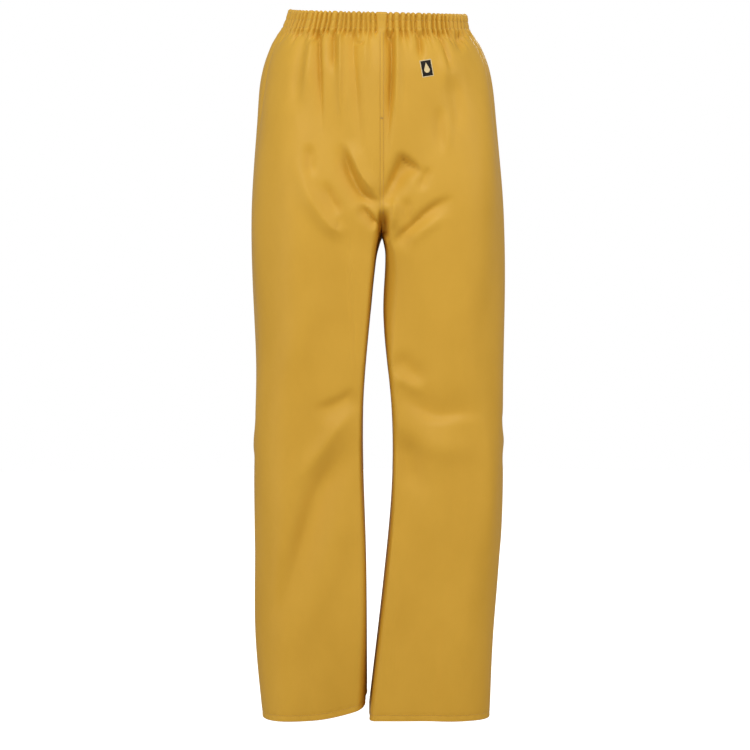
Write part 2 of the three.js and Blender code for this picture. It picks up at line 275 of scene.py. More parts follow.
WAIST_TILT = 1.2  # how much lower the waist hangs on the wearer's left, and at the front
SHRINK = 3.6  # how far the elastic draws the waist's edge down
SHRINK_LEFT = 2.6  # and how much more on the wearer's left
SHRINK_FRONT = 2  # and at the front
HEM_LIFT = 17  # how much higher the wearer's right hem is on the inside of the leg
HEM_LIFT_FROM = -105  # where across the leg it starts
HEM_LIFT_OVER = 87  # how far across it grows


def spaced(top, bottom, step):
    """Levels from the top to the bottom, about one step apart."""
    return np.linspace(top, bottom, max(2, round((top - bottom) / step) + 1))


BAND_LEVELS = spaced(-TOP_RADIUS, -BAND, 1.2)
LEG_LEVELS = np.concatenate([
    spaced(-BAND, -110, 2)[:-1],
    spaced(-110, -200, 2.8)[:-1],
    spaced(-200, FORK_TOP, 3.6)[:-1],
    spaced(FORK_TOP, CROTCH, 1.2)[:-1],
    spaced(CROTCH, MID_THIGH, 3.6)[:-1],
    spaced(MID_THIGH, HEM + 20, 3.6)[:-1],
    spaced(HEM + 20, HEM, 1.6),
])
TOP_STEPS = 8  # rows over the rounded top of the waistband


def grid_normals(side, points, closed=False):
    """Outward normals of one half's grid of rows and columns. Closed rows join end to end."""
    round_it = np.gradient(points, axis=1)
    wrapped = (points[:, 1] - points[:, -2]) / 2
    closed = np.broadcast_to(closed, len(points))[:, None]
    for end in (0, -1):
        round_it[:, end] = np.where(closed, wrapped, round_it[:, end])
    normals = np.cross(np.gradient(points, axis=0), round_it) * SIDES[side]
    return normals / np.linalg.norm(normals, axis=-1, keepdims=True).clip(1e-9)


def smooth_line(points, steps=8):
    """A Catmull-Rom curve through the points."""
    p = np.array(points, float)
    p = np.concatenate([2 * p[:1] - p[1:2], p, 2 * p[-1:] - p[-2:-1]])
    t = np.linspace(0, 1, steps, endpoint=False)[:, None]
    curve = []
    for a, b, c, d in zip(p, p[1:], p[2:], p[3:]):
        curve.append(b + t / 2 * (c - a + t * (2 * a - 5 * b + 4 * c - d + t * (3 * (b - c) + d - a))))
    return np.concatenate([*curve, p[-2:-1]])


def crease(across, z, height, widths, sharp, line, ends=(0.35, 0.4)):
    """One fold along a line of (across, level) points: a valley if its height is negative.

    widths is its half width, or one for each side of the line: the second is towards +across when the
    line runs down. sharp is how much of it comes to an edge. It fades over the share of its length
    that ends gives for its start and for its end.
    """
    widths = np.broadcast_to(widths, 2)
    path = smooth_line(line)
    reach = 3 * max(widths)
    low, high = path.min(axis=0) - reach, path.max(axis=0) + reach
    near = (across > low[0]) & (across < high[0]) & (z > low[1]) & (z < high[1])
    start, step = path[:-1], np.diff(path, axis=0)
    offset = np.stack([across[near], z[near]], axis=-1)[:, None] - start
    along = np.clip((offset * step).sum(axis=-1) / (step * step).sum(axis=-1), 0, 1)
    gap = np.linalg.norm(offset - along[..., None] * step, axis=-1)
    nearest = gap.argmin(axis=1)
    pick = np.arange(len(nearest)), nearest
    turn = step[nearest, 0] * offset[pick][:, 1] - step[nearest, 1] * offset[pick][:, 0]
    distance = gap[pick] / np.where(turn < 0, widths[0], widths[1])
    share = (nearest + along[pick]) / len(step)
    ending = smoothstep(share, -0.001, ends[0]) * (1 - smoothstep(share, 1 - ends[1], 1.001))
    result = np.zeros(across.shape)
    shape = (1 - sharp) * np.exp(-distance ** 2) + sharp * np.exp(-1.8 * distance)
    result[near] = height * shape * ending
    return result


# Each fold: height, half widths, sharpness and its line's points (towards the wearer's left, level).
FROM_BAND = (0, 0.5)  # for a fold that starts at the waistband
FRONT_DRAPES = [
    (-10, (9, 4), 0.5, [(-86, -24), (-85, -90), (-80, -207)]),
    (4.3, 8, 0, [(-96, -24), (-109, -155)]),
    (-7.8, (7, 5), 0.4, [(-64, -24), (-63, -109)]),
    (5.1, (6, 4), 0.4, [(-54, -24), (-54, -191)]),
    (-6.9, (9, 6), 0.3, [(-35, -24), (-34, -90), (-21, -246)]),
    (3.9, 6, 0.2, [(-18, -24), (-18, -109)]),
    (-12.2, (9, 4), 0.5, [(20, -24), (21, -87), (18, -155), (12, -239)]),
    (3.9, (4, 7), 0.2, [(27, -24), (27, -188)]),
    (-9, (6, 5), 0.4, [(62, -24), (63, -86)]),
    (-7.8, (7, 5), 0.4, [(91, -24), (108, -103)]),
    (3.9, 7, 0.1, [(95, -24), (99, -135)]),
    (-6.9, (7, 6), 0.3, [(118, -24), (124, -72)]),
    (-4.7, 11, 0, [(-103, -24), (-124, -181)]),
]
FRONT_FOLDS = [
    (-4.2, 12, 0, [(108, -98), (121, -197)]),
    (-3.5, 10, 0, [(91, -148), (91, -232)]),
    (2.9, 9, 0, [(102, -148), (101, -232)]),
    (-3.1, 2.5, 0.4, [(-32, -38), (-30, -50), (-25, -54), (-20, -50), (-18, -38)]),
    # under the front: creases that run to the crotch
    (-12.5, (15, 5), 0.4, [(-56, -204), (-46, -231), (-35, -259), (-22, -281), (-4, -291), (10, -294)]),
    (6.5, (5, 12), 0.2, [(-48, -200), (-36, -228), (-24, -254), (-10, -272), (4, -279)]),
    (-9.5, (11, 4), 0.3, [(-28, -296), (-16, -308), (-4, -322), (4, -332)]),
    (7, (13, 9), 0.2, [(-122, -220), (-101, -280), (-83, -310), (-60, -334), (-47, -319)]),
    (-4.5, 8, 0.2, [(-99, -207), (-96, -260)]),
    (-5.6, (9, 8), 0.3, [(-80, -260), (-65, -293), (-51, -313)]),
    (-4.5, 13, 0, [(46, -232), (32, -256), (16, -280)]),
    (-9, (8, 15), 0.1, [(42, -218), (30, -250), (14, -282), (8, -300)]),
    (-8.5, (13, 4), 0.4, [(26, -220), (42, -234), (54, -243), (68, -255)]),
    (4.5, (7, 6), 0.3, [(24, -283), (24, -336)]),
    (-4.5, 8, 0.2, [(41, -283), (44, -336)]),
    (-4.5, 8, 0.3, [(75, -241), (59, -280)]),
    (-8.5, (7, 15), 0.3, [(118, -286), (88, -297), (60, -319), (34, -344), (20, -362)]),
    (3.9, 9, 0.1, [(106, -306), (62, -336), (40, -358)]),
    # the wearer's left knee and shin
    (-5, 15, 0, [(20, -512), (46, -536), (74, -560)]),
    (3.5, 9, 0.1, [(18, -544), (44, -556), (70, -572)]),
    (-7, (10, 26), 0.1, [(24, -562), (62, -592), (88, -603), (124, -599), (166, -600)]),
    (5, 22, 0, [(20, -580), (56, -630), (100, -652), (160, -640)]),
    (-5, 17, 0, [(22, -620), (41, -659), (52, -692), (84, -730)]),
    (3, (10, 12), 0.2, [(152, -580), (164, -700), (160, -860)]),
    (2.6, (8, 16), 0.3, [(28, -812), (21, -1037)]),
    # the wearer's right knee and shin
    (4, 26, 0, [(-66, -400), (-104, -480), (-134, -570)]),
    (-5.5, (9, 22), 0.1, [(-26, -564), (-58, -586), (-100, -600)]),
    (5.5, 13, 0.1, [(-30, -584), (-62, -626), (-90, -664), (-126, -712)]),
    (-9, (16, 24), 0,
     [(-22, -628), (-54, -670), (-86, -718), (-106, -780), (-130, -860), (-162, -940)]),
    (5, 26, 0, [(-36, -700), (-60, -790), (-100, -900), (-130, -980)]),
    # the insides of the thighs turn away, on the right from a faint pressed line
    (-4, (14, 26), 0, [(22, -300), (26, -430), (34, -580)]),
    (2.4, (4, 20), 0.5, [(-40, -280), (-38, -394), (-33, -496), (-32, -590)]),
]
BACK_DRAPES = [
    (-8.1, (9, 6), 0.4, [(-96, -24), (-100, -120), (-92, -230)]),
    (-6.2, 8, 0.3, [(-52, -24), (-56, -105), (-50, -190)]),
    (-7.7, (6, 9), 0.4, [(-22, -24), (-24, -100), (-16, -215)]),
    (4, 8, 0.1, [(-37, -24), (-40, -150)]),
    (-7.3, (6, 9), 0.4, [(31, -24), (33, -110), (24, -225)]),
    (4, 8, 0.1, [(46, -24), (50, -160)]),
    (-6.5, (9, 6), 0.3, [(68, -24), (74, -110), (70, -180)]),
    (-6.9, 8, 0.3, [(108, -24), (117, -120), (112, -215)]),
]
BACK_FOLDS = [
    # under the seat: creases that run to the crotch
    (-6.6, (8, 6), 0.4, [(-104, -300), (-70, -318), (-30, -342), (-10, -362)]),
    (4.3, 10, 0.1, [(-110, -276), (-70, -294), (-28, -318)]),
    (-6.2, (6, 8), 0.4, [(112, -296), (76, -316), (38, -342), (18, -364)]),
    (4.3, 10, 0.1, [(116, -272), (76, -292), (36, -316)]),
    (-4.1, 8, 0.2, [(-60, -250), (-34, -275), (-8, -282)]),
    (-4.1, 8, 0.2, [(70, -246), (44, -272), (20, -282)]),
    # behind the knees
    (-5.3, 9, 0.2, [(-150, -610), (-110, -626), (-60, -618), (-38, -604)]),
    (3.7, 10, 0.1, [(-146, -640), (-104, -656), (-60, -646)]),
    (-4.3, 10, 0.2, [(-140, -668), (-98, -680), (-62, -672)]),
    (-5.3, 9, 0.2, [(154, -602), (118, -620), (70, -616), (44, -600)]),
    (3.7, 10, 0.1, [(150, -632), (108, -650), (68, -642)]),
    (-4.3, 10, 0.2, [(146, -662), (104, -676), (70, -664)]),
    (-4.3, 16, 0, [(-60, -760), (-120, -900)]),
    (-4.3, 16, 0, [(70, -770), (128, -890)]),
]
OUTER_DRAPES = [  # on each leg's outside: the first number runs to the back
    (-3.2, (8, 6), 0.3, [(-30, -24), (-34, -130), (-26, -240)]),
    (2, 8, 0.1, [(-8, -24), (-10, -170)]),
    (-3.4, (7, 8), 0.3, [(14, -24), (18, -120), (10, -230)]),
    (-2.9, 8, 0.3, [(52, -24), (64, -110), (66, -190)]),
]
OUTER_FOLDS = [
    (-2, 12, 0.1, [(-58, -594), (-14, -622), (40, -632), (66, -620)]),
    (1.4, 12, 0.1, [(-50, -626), (0, -652), (50, -660)]),
    (-1.8, 12, 0.1, [(-46, -660), (6, -684), (52, -684)]),
    (-2.4, 18, 0, [(-20, -780), (20, -940)]),
]


def all_creases(across, z, drapes, folds):
    hanging = sum(crease(across, z, *fold, ends=FROM_BAND) for fold in drapes)
    return hanging + sum(crease(across, z, *fold) for fold in folds)


def round_the_leg(side, points):
    """How far round its leg each point is from the outside, in millimetres at a thigh's girth."""
    across = points[..., 0] * SIDES[side] - (OUTER[side](HIP_END) + INNER[side](HIP_END)) / 2
    return THIGH_RADIUS * np.arctan2(points[..., 1], across)


def soft_waves(round_it, z, seed):
    """Broad, shallow waves that run mostly down the cloth."""
    rng = np.random.default_rng(seed)
    total = np.zeros(round_it.shape)
    for wavelength in (70, 95, 130, 180):
        lean = rng.uniform(-0.45, 0.45)
        phase = rng.uniform(0, 2 * math.pi)
        crossing = round_it * math.cos(lean) + z * math.sin(lean)
        total += np.sin(2 * math.pi * crossing / wavelength + phase)
    return WAVE_HEIGHT * total


def gathers_of(side):
    """The waistband's gathers: column, depth, how far each runs below the band, and lean."""
    rng = np.random.default_rng(40 + SIDES[side])
    along = even_columns(side, BAND_LEVELS[:1])[1][0]
    at = FLAT_PATCH
    gathers = []
    while at < along[-1] - FLAT_PATCH:
        depth = rng.choice([0.4, 0.75, 1.0], p=[0.15, 0.3, 0.55])
        reach = rng.choice([6, 9, 16] if at < 0.45 * along[-1] else [7, 12, 24, 60])
        column = np.interp(at, along, np.arange(COLUMNS + 1))
        gathers.append((column, depth, reach, rng.uniform(-1.4, 1.4)))
        wider = GATHER_PITCH_AT_SIDE * math.sin(math.pi * at / along[-1]) ** 2
        at += GATHER_PITCH + wider + rng.choice([-1.2, 0, 0, 1.2, 3.4])
    return gathers


def gather_dips(side, levels, along):
    """How deep the gathers are, as a share of the full depth, on each row and column."""
    gathers = gathers_of(side)
    below = np.maximum(-BAND - levels, 0)[:, None]
    down_band = np.clip(-levels / BAND, 0, 1)[:, None]
    column = np.arange(COLUMNS + 1)
    dips = np.zeros(along.shape)
    for at, depth, reach, lean in gathers:
        centre = np.array([np.interp(at, column, row) for row in along])[:, None]
        distance = np.abs(along - centre - lean * np.sin(3 * down_band + lean))
        width = np.minimum(GATHER_WIDTH + 0.16 * below, 12)
        dip = depth * np.exp(-(distance / width) ** 1.4)
        dips = np.maximum(dips, dip * np.exp(-(below / reach) ** 1.5))
    places = [gather[0] for gather in gathers]
    phase = np.interp(column, places, np.arange(len(places)), left=0, right=0) % 1
    swell = np.sin(math.pi * phase) ** 0.7 * np.exp(-(below / 14) ** 2) * GATHER_SWELL / GATHER_DEPTH
    pinch = sum(np.exp(-((levels - row) / 1.5) ** 2) for row in STITCH_ROWS)[:, None]
    return dips * (1 - 0.1 * pinch) - swell * (1 - 0.5 * pinch)


def hang_askew(points):
    """The worn waist is a little lower on the wearer's left and at the front."""
    x, y, z = np.moveaxis(points, -1, 0)
    to_left = x / OUTER["left"](0)
    to_front = np.clip(-y / FRONT(0), 0, 1)
    tilt = -WAIST_TILT * to_left - WAIST_TILT * to_front
    shrink = SHRINK + SHRINK_LEFT * to_left + SHRINK_FRONT * to_front
    points[..., 2] = z + tilt * smoothstep(z, SLOPE_FADES_BY, 0) - shrink * smoothstep(z, -BAND, 0)
    return points


def lift_hem(points):
    """The wearer's right hem rises towards the inside of the leg."""
    x, z = points[..., 0], points[..., 2]
    towards_inside = np.clip((x - HEM_LIFT_FROM) / HEM_LIFT_OVER, 0, 1)
    points[..., 2] = z + HEM_LIFT * towards_inside ** 2 * smoothstep(-z, -MID_THIGH, -HEM)


def fold_heights(side, points, normals, levels, along):
    """How far each point of the grid below the waistband stands out from the smooth body."""
    x, y, _ = np.moveaxis(points, -1, 0)
    z = np.broadcast_to(levels[:, None], x.shape)
    to_side = normals[..., 0] * SIDES[side]
    front = smoothstep(-normals[..., 1], 0.1, 0.5)
    back = smoothstep(normals[..., 1], 0.1, 0.5)
    outside = smoothstep(to_side, 0.5, 0.9)
    height = front * all_creases(x, z, FRONT_DRAPES, FRONT_FOLDS)
    height += back * all_creases(x, z, BACK_DRAPES, BACK_FOLDS)
    height += outside * all_creases(y, z, OUTER_DRAPES, OUTER_FOLDS)
    waves = soft_waves(round_the_leg(side, points), z, 7 + SIDES[side])
    column = np.arange(COLUMNS + 1)
    from_seam = np.minimum(column, COLUMNS - column)
    height += waves * smoothstep(-z, BAND, 120) * smoothstep(from_seam, 0, 24)
    height *= smoothstep(-z, BAND, BAND + FADE_UNDER_BAND)
    height -= LEG_GATHER_DEPTH * gather_dips(side, levels, along)
    inner = smoothstep(-to_side, 0.2, 0.7) * smoothstep(-z, -CROTCH, -CROTCH + 40)
    height = np.where(height > 0, height * (1 - inner), height)
    ripple = PUCKER * np.sin(2 * math.pi * round_the_leg(side, points) / PUCKER_PITCH)
    return height + (ripple - PUCKER_SINK) * np.exp(-((z - HEM - HEM_STITCH) / 3) ** 2)


def waistband_grid(side):
    """Rows from the bottom of the band's inside, up, over its top and down its outside."""
    base, along = even_columns(side, BAND_LEVELS)
    normals = grid_normals(side, base)
    dips = gather_dips(side, BAND_LEVELS, along)
    rows = sum(np.exp(-((BAND_LEVELS - row) / 1.0) ** 2) for row in STITCH_ROWS)[:, None]
    outer_depth = GATHER_DEPTH * dips + STITCHES_SINK * rows
    inner_depth = BAND_THICKNESS - INNER_GATHER_DEPTH * dips - STITCHES_SINK_INSIDE * rows
    outer = base - normals * outer_depth[..., None]
    inner = (base - normals * inner_depth[..., None])[::-1]
    radius = (inner_depth[0] - outer_depth[0])[:, None] / 2
    middle = (inner[-1] + outer[0]) / 2
    over = []
    for step in range(1, TOP_STEPS):
        angle = math.pi * step / TOP_STEPS
        up = np.array([0, 0, math.sin(angle)])
        over.append(middle - normals[0] * radius * math.cos(angle) + radius * up)
    return np.concatenate([inner, np.array(over), outer])


def sink_crotch(points, levels):
    """The narrow hollow at the foot of the front seam, between the tops of the legs."""
    x, y, _ = np.moveaxis(points, -1, 0)
    z = levels[:, None]
    opening = smoothstep(-z, -HOLLOW_TOP, 24 - HOLLOW_TOP)
    closing = smoothstep(-z, -CROTCH, 12 - CROTCH)
    across = np.exp(-np.abs((x - HOLLOW_PLACE) / HOLLOW_WIDTH) ** 3)
    points[..., 1] = y + HOLLOW_DEPTH * opening * (1 - closing) * across * smoothstep(-y, 30, 90)


def make_grid(side):
    """The whole outside of one half, with normals: the waistband's rows, then those of the leg."""
    base, along = even_columns(side, LEG_LEVELS)
    closed = LEG_LEVELS <= CROTCH
    normals = grid_normals(side, base, closed)
    leg = base + normals * fold_heights(side, base, normals, LEG_LEVELS, along)[..., None]
    sink_crotch(leg, LEG_LEVELS)
    band = waistband_grid(side)
    points = np.concatenate([band[:-1], leg])
    band_rows = len(band) - 1
    closed = np.concatenate([np.zeros(band_rows, bool), closed])
    points[closed, -1] = points[closed, 0]
    points = hang_askew(points)
    if side == "right":
        lift_hem(points)
    inside_band = np.full(band_rows - len(BAND_LEVELS) + 1, 1.0)
    levels = np.concatenate([inside_band, BAND_LEVELS[:-1], LEG_LEVELS])
    _, band_along = even_columns(side, BAND_LEVELS[:1])
    along = np.concatenate([np.repeat(band_along, band_rows, axis=0), along])
    return {
        "side": side,
        "points": points,
        "normals": grid_normals(side, points, closed),
        "closed": closed,
        "levels": levels,
        "along": along,
        "band_rows": band_rows,
    }


GRIDS = {side: make_grid(side) for side in SIDES}


def row_of(grid, level):
    """The row of the outside at a level, counted in fractions of a row."""
    first = int(np.argmax(grid["levels"] <= 0))
    depths = -grid["levels"][first:]
    return first + np.interp(-np.asarray(level, float), depths, np.arange(len(depths)))


def level_of(grid, rows):
    return np.interp(rows, np.arange(len(grid["levels"])), grid["levels"])


def columns_at(grid, rows, distances):
    """The columns at distances along the rows, from the front seam or the leg's inside."""
    lines = grid["along"][np.round(rows).astype(int)]
    column = np.arange(COLUMNS + 1)
    return np.array([np.interp(reach, line, column) for reach, line in zip(distances, lines)])


def on_cloth(grid, row, column, lift=0.0):
    """Points and normals between the grid's rows and columns, lifted off the cloth by a height."""
    row, column = np.broadcast_arrays(np.asarray(row, float), np.asarray(column, float))
    r = np.clip(np.floor(row).astype(int), 0, len(grid["levels"]) - 2)
    c = np.clip(np.floor(column).astype(int), 0, COLUMNS - 1)
    down, aside = (row - r)[..., None], (column - c)[..., None]

    def between(values):
        top = values[r, c] * (1 - aside) + values[r, c + 1] * aside
        bottom = values[r + 1, c] * (1 - aside) + values[r + 1, c + 1] * aside
        return top * (1 - down) + bottom * down

    normals = between(grid["normals"])
    normals = normals / np.linalg.norm(normals, axis=-1, keepdims=True)
    return between(grid["points"]) + normals * np.asarray(lift)[..., None], normals


# ------------ materials


def new_material(name, colour, roughness, specular=0.5, sheen=0.0):
    """A material, its nodes, its shader, and a point's place on the flat cloth in metres."""
    material = bpy.data.materials.new(name)
    material.use_nodes = True
    shader = material.node_tree.nodes["Principled BSDF"]
    shader.inputs["Base Color"].default_value = (*colour, 1)
    shader.inputs["Roughness"].default_value = roughness
    shader.inputs["Specular IOR Level"].default_value = specular
    shader.inputs["Sheen Weight"].default_value = sheen
    tree = material.node_tree
    place = node(tree, "ShaderNodeUVMap", uv_map="cloth").outputs["UV"]
    return material, tree, shader, place


def node(tree, kind, **values):
    made = tree.nodes.new(kind)
    for name, value in values.items():
        if name in made.inputs:
            made.inputs[name].default_value = value
        else:
            setattr(made, name, value)
    return made


def stretched(tree, place, scale):
    mapping = node(tree, "ShaderNodeMapping")
    mapping.inputs["Scale"].default_value = scale
    tree.links.new(place, mapping.inputs["Vector"])
    return mapping.outputs["Vector"]


def noise(tree, place, scale, detail=3.0, rough=0.55):
    made = node(tree, "ShaderNodeTexNoise", Scale=scale, Detail=detail, Roughness=rough)
    tree.links.new(place, made.inputs["Vector"])
    return made.outputs["Fac"]


def paint(tree, shader, value, *stops):
    """Colours the surface along a value: stops are (position, colour) pairs."""
    made = node(tree, "ShaderNodeValToRGB")
    for element, (position, colour) in zip(made.color_ramp.elements, stops):
        element.position = position
        element.color = (*colour, 1)
    tree.links.new(value, made.inputs["Fac"])
    tree.links.new(made.outputs["Color"], shader.inputs["Base Color"])


def roughen(tree, shader, value, low, high):
    """Roughness from low to high along a value from 0 to 1."""
    made = node(tree, "ShaderNodeMapRange")
    made.inputs["To Min"].default_value = low
    made.inputs["To Max"].default_value = high
    tree.links.new(value, made.inputs["Value"])
    tree.links.new(made.outputs["Result"], shader.inputs["Roughness"])


def bump(tree, shader, *heights):
    """Stacks bumps: each is (height output, depth in metres)."""
    normal = None
    for height, distance in heights:
        made = node(tree, "ShaderNodeBump", Distance=distance, Strength=1.0)
        tree.links.new(height, made.inputs["Height"])
        if normal is not None:
            tree.links.new(normal, made.inputs["Normal"])
        normal = made.outputs["Normal"]
    tree.links.new(normal, shader.inputs["Normal"])


def weave(tree, place, pitch, along=1.0):
    """Height of a plain weave or knit: two crossed sets of fine ridges."""
    scaled = stretched(tree, place, (1 / pitch, along / pitch, 1))
    ridges = []
    for axis in ("X", "Y"):
        wave = node(tree, "ShaderNodeTexWave", Scale=1 / math.pi, Distortion=0.6, bands_direction=axis)
        wave.inputs["Detail Scale"].default_value = 1.5
        tree.links.new(scaled, wave.inputs["Vector"])
        ridges.append(wave.outputs["Fac"])
    join = node(tree, "ShaderNodeMath", operation="MULTIPLY")
    tree.links.new(ridges[0], join.inputs[0])
    tree.links.new(ridges[1], join.inputs[1])
    return join.outputs["Value"]


def coated_cloth():
    """Soft vinyl on a knitted backing: a satin face with a fine pebble grain, faintly scuffed."""
    material, tree, shader, place = new_material("coated_cloth", (0.70, 0.40, 0.038), 0.5, 0.36)
    tone = noise(tree, stretched(tree, place, (1, 0.5, 1)), 14, 4)
    paint(tree, shader, tone, (0.25, (0.665, 0.372, 0.033)), (0.78, (0.735, 0.422, 0.044)))
    scuffs = noise(tree, place, 60, 5, 0.7)
    roughen(tree, shader, scuffs, 0.46, 0.6)
    grain = noise(tree, place, 1500, 2)
    bump(tree, shader, (grain, 0.00006), (weave(tree, place, 0.0011), 0.00003), (scuffs, 0.0001))
    return material


def knitted_back():
    """The inside of the coated cloth: a pale, matt, fine knit."""
    material, tree, shader, place = new_material("knitted_back", (0.72, 0.60, 0.33), 0.9, 0.2, 0.25)
    knit = weave(tree, place, 0.0012, 0.7)
    paint(tree, shader, knit, (0.0, (0.55, 0.43, 0.20)), (0.6, (0.76, 0.65, 0.38)))
    bump(tree, shader, (knit, 0.00015), (noise(tree, place, 300, 3), 0.0001))
    return material


def seam_tape():
    """Heat-sealed tape: a smoother, slightly milky film."""
    material, tree, shader, place = new_material("seam_tape", (0.74, 0.54, 0.17), 0.38)
    tone = noise(tree, place, 90, 4)
    paint(tree, shader, tone, (0.3, (0.68, 0.48, 0.14)), (0.75, (0.79, 0.60, 0.22)))
    roughen(tree, shader, tone, 0.3, 0.48)
    bump(tree, shader, (noise(tree, place, 700, 3), 0.00008))
    return material


def ribbed_elastic():
    material, tree, shader, place = new_material("elastic", (0.82, 0.80, 0.74), 0.85)
    ribs = weave(tree, place, 0.0014, 0.5)
    paint(tree, shader, ribs, (0.0, (0.58, 0.56, 0.50)), (0.6, (0.86, 0.84, 0.78)))
    bump(tree, shader, (ribs, 0.0003))
    return material


def sewing_thread():
    """Polyester thread: two strands twisted round each other, with a soft sheen."""
    material, tree, shader, place = new_material("sewing_thread", (0.62, 0.36, 0.06), 0.5, sheen=0.2)
    place = stretched(tree, place, (1000, 1000, 1))
    twist = node(tree, "ShaderNodeTexWave", Scale=2.2, Distortion=0.4, bands_direction="DIAGONAL")
    tree.links.new(place, twist.inputs["Vector"])
    paint(tree, shader, twist.outputs["Fac"], (0.0, (0.50, 0.27, 0.035)), (0.8, (0.70, 0.43, 0.08)))
    bump(tree, shader, (twist.outputs["Fac"], 0.00008))
    return material


def welded_film(name, dark, light, roughness, specular):
    """The badge's welded vinyl films: satin, with a fine moulded grain."""
    material, tree, shader, place = new_material(name, light, roughness, specular)
    tone = noise(tree, place, 250, 4)
    paint(tree, shader, tone, (0.3, dark), (0.75, light))
    roughen(tree, shader, tone, roughness - 0.08, roughness + 0.1)
    bump(tree, shader, (noise(tree, place, 2000, 2), 0.00004))
    return material


def satin_label():
    material, tree, shader, place = new_material("satin_label", (0.86, 0.85, 0.81), 0.45, sheen=0.3)
    threads = weave(tree, place, 0.0006, 0.4)
    paint(tree, shader, threads, (0.0, (0.72, 0.71, 0.67)), (0.6, (0.90, 0.89, 0.86)))
    bump(tree, shader, (threads, 0.00006))
    return material


VINYL = coated_cloth()
KNIT = knitted_back()
TAPE = seam_tape()
ELASTIC = ribbed_elastic()
THREAD = sewing_thread()
DARK_FILM = welded_film("badge_dark_film", (0.008, 0.006, 0.004), (0.017, 0.012, 0.009), 0.35, 0.22)
PALE_FILM = welded_film("badge_pale_film", (0.66, 0.50, 0.23), (0.82, 0.68, 0.38), 0.4, 0.5)
LABEL = satin_label()

# ------------ meshes


def mesh_object(name, points, faces, uv, materials, slots=None, normals=None):
    """A mesh of four-sided faces: points in millimetres, uv in metres for each face corner."""
    mesh = bpy.data.meshes.new(name)
    mesh.vertices.add(len(points))
    mesh.vertices.foreach_set("co", (np.asarray(points) * MM).astype(np.float32).ravel())
    mesh.loops.add(faces.size)
    mesh.loops.foreach_set("vertex_index", faces.astype(np.int32).ravel())
    mesh.polygons.add(len(faces))
    mesh.polygons.foreach_set("loop_start", np.arange(0, faces.size, 4, dtype=np.int32))
    if slots is not None:
        mesh.polygons.foreach_set("material_index", slots.astype(np.int32))
    mesh.polygons.foreach_set("use_smooth", np.ones(len(faces), bool))
    mesh.update(calc_edges=True)
    layer = mesh.uv_layers.new(name="cloth")
    layer.data.foreach_set("uv", uv.astype(np.float32).ravel())
    for material in materials:
        mesh.materials.append(material)
    if normals is not None:
        mesh.normals_split_custom_set_from_vertices(normals.tolist())
    piece = bpy.data.objects.new(name, mesh)
    bpy.context.scene.collection.objects.link(piece)
    return piece


def edges_used_once(faces):
    """The faces' directed edges that no other face runs along."""
    start = faces.ravel()
    end = np.roll(faces, -1, axis=1).ravel()
    size = faces.max() + 1
    code, reverse = start * size + end, end * size + start
    lonely = ~np.isin(code, reverse)
    return start[lonely], end[lonely], np.nonzero(lonely)[0]


def sheet_object(name, points, normals, places, thickness, materials, closed=None):
    """A sheet with thickness, from its outside's rows and columns and their places on the cloth."""
    rows, columns = points.shape[:2]
    flat = np.arange(rows * columns).reshape(rows, columns)
    corner = np.stack([flat[:-1, :-1], flat[:-1, 1:], flat[1:, 1:], flat[1:, :-1]], axis=-1)
    corner = corner.reshape(-1, 4)
    middle = points.reshape(-1, 3)[corner]
    facing = np.cross(middle[:, 2] - middle[:, 0], middle[:, 3] - middle[:, 1])
    if (facing * normals.reshape(-1, 3)[corner[:, 0]]).sum() < 0:
        corner = corner[:, ::-1]
    uv = places.reshape(-1, 2)[corner]
    if closed is not None:
        flat = flat.copy()
        flat[closed, -1] = flat[closed, 0]
    kept, welded = np.unique(flat.ravel()[corner], return_inverse=True)
    outer = welded.reshape(-1, 4)
    top, facing = points.reshape(-1, 3)[kept], normals.reshape(-1, 3)[kept]
    count = len(top)
    inner = outer[:, ::-1] + count
    start, end, where = edges_used_once(outer)
    rim = np.stack([end, start, start + count, end + count], axis=-1)
    rim_uv = uv.reshape(-1, 2)[where]
    faces = np.concatenate([outer, inner, rim])
    uv = np.concatenate([uv, uv[:, ::-1], np.repeat(rim_uv[:, None], 4, axis=1)])
    both = np.concatenate([top, top - facing * thickness])
    slots = np.repeat([0, len(materials) - 1, 0], [len(outer), len(inner), len(rim)])
    return mesh_object(name, both, faces, uv, materials, slots, np.concatenate([facing, -facing]))


def cloth_places(grid, rows, columns):
    """Each point's place on the flat cloth, in metres from the middle of the leg's outside."""
    from_outside = grid["along"] - grid["along"][:, COLUMNS // 2, None]
    round_it = from_outside[np.ix_(rows, columns)]
    steps = np.linalg.norm(np.diff(grid["points"][:, COLUMNS // 2], axis=0), axis=-1)
    down = np.concatenate([[0], np.cumsum(steps)])[rows]
    return np.stack(np.broadcast_arrays(round_it * SIDES[grid["side"]], -down[:, None]), axis=-1) * MM


def leg_blend(piece, low):
    """Bakes the piece's placement into its mesh, the same for pieces above and below the middle of the
    thigh.
    """
    if low:
        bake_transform(piece)
    else:
        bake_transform(piece)


def panel(name, side, first, last, stride):
    grid = GRIDS[side]
    rows = np.arange(first, last + 1)
    columns = np.arange(0, COLUMNS + 1, stride)
    pick = np.ix_(rows, columns)
    points, normals = grid["points"][pick], grid["normals"][pick]
    places = cloth_places(grid, rows, columns)
    closed = grid["closed"][rows]
    return sheet_object(f"{name}_{side}", points, normals, places, CLOTH, [VINYL, KNIT], closed)


